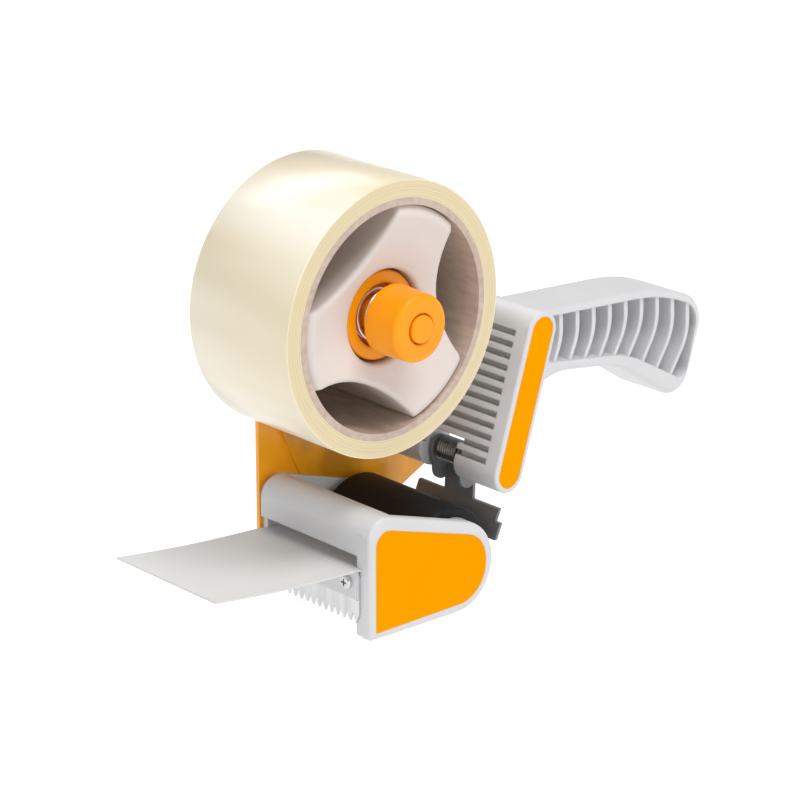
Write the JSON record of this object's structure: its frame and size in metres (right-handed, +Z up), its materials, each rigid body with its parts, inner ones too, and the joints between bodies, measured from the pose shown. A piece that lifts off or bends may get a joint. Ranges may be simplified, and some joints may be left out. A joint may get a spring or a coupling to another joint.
{
  "type": "tape gun dispenser",
  "caption": "Hand-held tape gun dispenser with a pistol grip, braked tape hub, rubber press roller, serrated cutter, wiper flap and sprung tape retainer.",
  "frame": {"origin": "on the tape spindle's axis, in the outer flat face of the steel side frame", "axes": "+X to the rear, towards the hand; +Y out of the side frame's flat face; +Z up, away from the carton"},
  "size_m": [0.2435, 0.0671, 0.1574],
  "materials": {
    "frame_paint": "gloss orange paint",
    "housing_plastic": "satin light grey moulding",
    "orange_plastic": "soft gloss orange moulding",
    "orange_inlay": "flat orange insert",
    "hub_plastic": "warm off-white moulding",
    "core_board": "wound cardboard",
    "tape_film": "clear film on adhesive, cream in depth",
    "roller_rubber": "smooth black rubber",
    "bush_plastic": "natural nylon",
    "bright_steel": "bright drawn steel",
    "spring_steel": "zinc plated spring wire",
    "dark_steel": "dark phosphated sheet",
    "brass": "machined",
    "felt": "pressed felt",
    "flap_plastic": "thin flexible grey sheet"
  },
  "bodies": {
    "frame": {"side_frame": "frame_paint", "spindle": "orange_plastic", "spindle_rivet": "bright_steel", "friction_pad": "felt", "cup_washer": "orange_plastic", "tension_spring": "spring_steel", "head_housing": "housing_plastic", "head_inlay": "orange_inlay", "cutter_blade": "bright_steel", "flap_clamp": "housing_plastic", "blade_screws": "bright_steel", "roller_axle": "bright_steel", "roller_washers": "bush_plastic", "handle": "housing_plastic", "label_inlay": "orange_inlay", "retainer_pin": "bright_steel", "torsion_spring": "spring_steel", "head_screws": "bright_steel", "handle_screws": "bright_steel"},
    "tape_hub": {"hub": "hub_plastic", "tape_core": "core_board", "tape_roll": "tape_film"},
    "thread_follower": {"slip_washer": "bright_steel"},
    "tension_knob": {"knob": "orange_plastic", "knob_nut": "brass"},
    "roller": {"roller_sleeve": "roller_rubber", "roller_core": "bush_plastic", "roller_bushes": "bush_plastic"},
    "retainer": {"retainer_plate": "dark_steel"},
    "flap": {"flap": "flap_plastic"}
  },
  "joints": [
    {"name": "hub_spin", "type": "hinge", "parent": "frame", "child": "tape_hub", "pos_m": [0, -0.0296, 0], "axis": [0, 1, 0], "continuous": true},
    {"name": "knob_travel", "type": "slide", "parent": "frame", "child": "thread_follower", "axis": [0, 1, 0], "range_m": [-0.003, 0.004], "deforming": ["tension_spring"]},
    {"name": "knob_turn", "type": "hinge", "parent": "thread_follower", "child": "tension_knob", "pos_m": [0, -0.06, 0], "axis": [0, 1, 0], "range_deg": [-545, 725]},
    {"name": "roller_spin", "type": "hinge", "parent": "frame", "child": "roller", "pos_m": [0.0252, -0.0296, -0.0921], "axis": [0, 1, 0], "continuous": true},
    {"name": "retainer_swing", "type": "hinge", "parent": "frame", "child": "retainer", "pos_m": [0.05, -0.0296, -0.065], "axis": [0, -1, 0], "range_deg": [0, 35], "stiffness_Nm_per_rad": 0.04, "springref_deg": -20.05, "deforming": ["torsion_spring"]},
    {"name": "flap_flex", "type": "hinge", "parent": "frame", "child": "flap", "pos_m": [-0.0182, -0.0296, -0.0832], "axis": [0, 1, 0], "range_deg": [-20, 25], "stiffness_Nm_per_rad": 0.06, "springref_deg": 0.86}
  ],
  "couplings": [
    {"joint": "knob_turn", "follows": "knob_travel", "rad_per_m": 3141.6}
  ]
}
